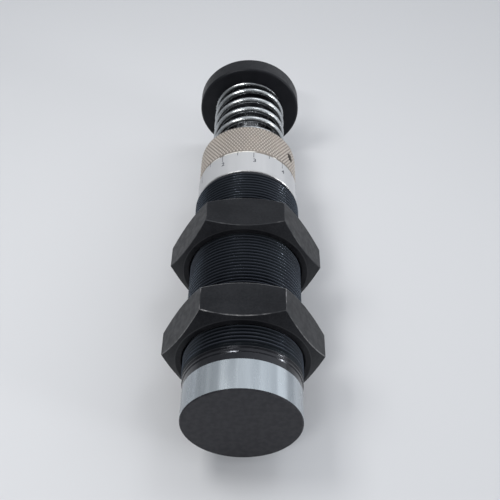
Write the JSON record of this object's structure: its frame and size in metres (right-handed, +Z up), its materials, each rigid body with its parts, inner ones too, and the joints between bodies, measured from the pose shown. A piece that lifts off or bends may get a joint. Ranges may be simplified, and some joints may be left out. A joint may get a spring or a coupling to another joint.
{
  "type": "industrial shock absorber",
  "caption": "Adjustable threaded industrial shock absorber with two hexagon lock nuts, a knurled dial ring, an outer return spring and a round strike button",
  "frame": {"origin": "centre of the flat rear face of the barrel, on the long axis", "axes": "+Y runs along the long axis from the rear face to the strike button, +Z is up when the part lies on the flats of its nuts, +X is to the right seen from the rear"},
  "size_m": [0.0578, 0.1791, 0.05],
  "materials": {
    "black_oxide": "burnished black oxide, low gloss",
    "foil": "wrapped foil label, soft sheen",
    "nut_black": "black oxide, slightly worn edges",
    "sleeve_metal": "satin",
    "scale_white": "printed film, semi-matt",
    "satin_nickel": "satin nickel, fine knurl, warm",
    "screw_black": "black oxide",
    "machined_steel": "turned steel",
    "bronze": "turned bronze",
    "seal_rubber": "satin nitrile",
    "spring_steel": "phosphated",
    "foam": "closed-cell foam",
    "hard_chrome": "ground and polished",
    "ptfe": "PTFE band",
    "zinc_wire": "bright zinc",
    "button_black": "satin black, rounded edges"
  },
  "bodies": {
    "barrel_body": {"barrel": "black_oxide", "rear_label_band": "foil", "scale_sleeve": "sleeve_metal", "scale_label": "scale_white", "head_retaining_ring": "spring_steel", "pressure_tube": "machined_steel", "tube_end_plug": "machined_steel", "accumulator_foam": "foam", "return_spring": "zinc_wire"},
    "adjuster_body": {"adjuster_ring": "satin_nickel", "adjuster_set_screw": "screw_black", "adjuster_head": "machined_steel", "rod_bearing": "bronze", "rod_seal": "seal_rubber", "rod_wiper": "seal_rubber", "head_o_ring": "seal_rubber", "metering_sleeve": "machined_steel", "spring_seat_washer": "machined_steel"},
    "rod_body": {"piston_rod": "hard_chrome", "piston": "bronze", "piston_ring": "ptfe", "piston_nut": "machined_steel", "strike_button": "button_black"},
    "check_ring_body": {"check_ring": "machined_steel"},
    "rear_nut_body": {"rear_lock_nut": "nut_black"},
    "front_nut_body": {"front_lock_nut": "nut_black"}
  },
  "joints": [
    {"name": "rod_slide", "type": "slide", "parent": "barrel_body", "child": "rod_body", "axis": [0, -1, 0], "range_m": [0, 0.025], "stiffness_N_per_m": 2600, "springref_m": -0.0098, "deforming": ["return_spring"]},
    {"name": "dial_turn", "type": "hinge", "parent": "barrel_body", "child": "adjuster_body", "pos_m": [0, 0.1245, 0], "axis": [0, 1, 0], "range_deg": [-166, 130]},
    {"name": "check_ring_float", "type": "slide", "parent": "rod_body", "child": "check_ring_body", "axis": [0, -1, 0], "range_m": [0, 0.0008]},
    {"name": "rear_nut_travel", "type": "slide", "parent": "barrel_body", "child": "rear_nut_body", "axis": [0, 1, 0], "range_m": [-0.0072, 0.013]},
    {"name": "front_nut_travel", "type": "slide", "parent": "barrel_body", "child": "front_nut_body", "axis": [0, 1, 0], "range_m": [-0.013, 0.018]}
  ]
}
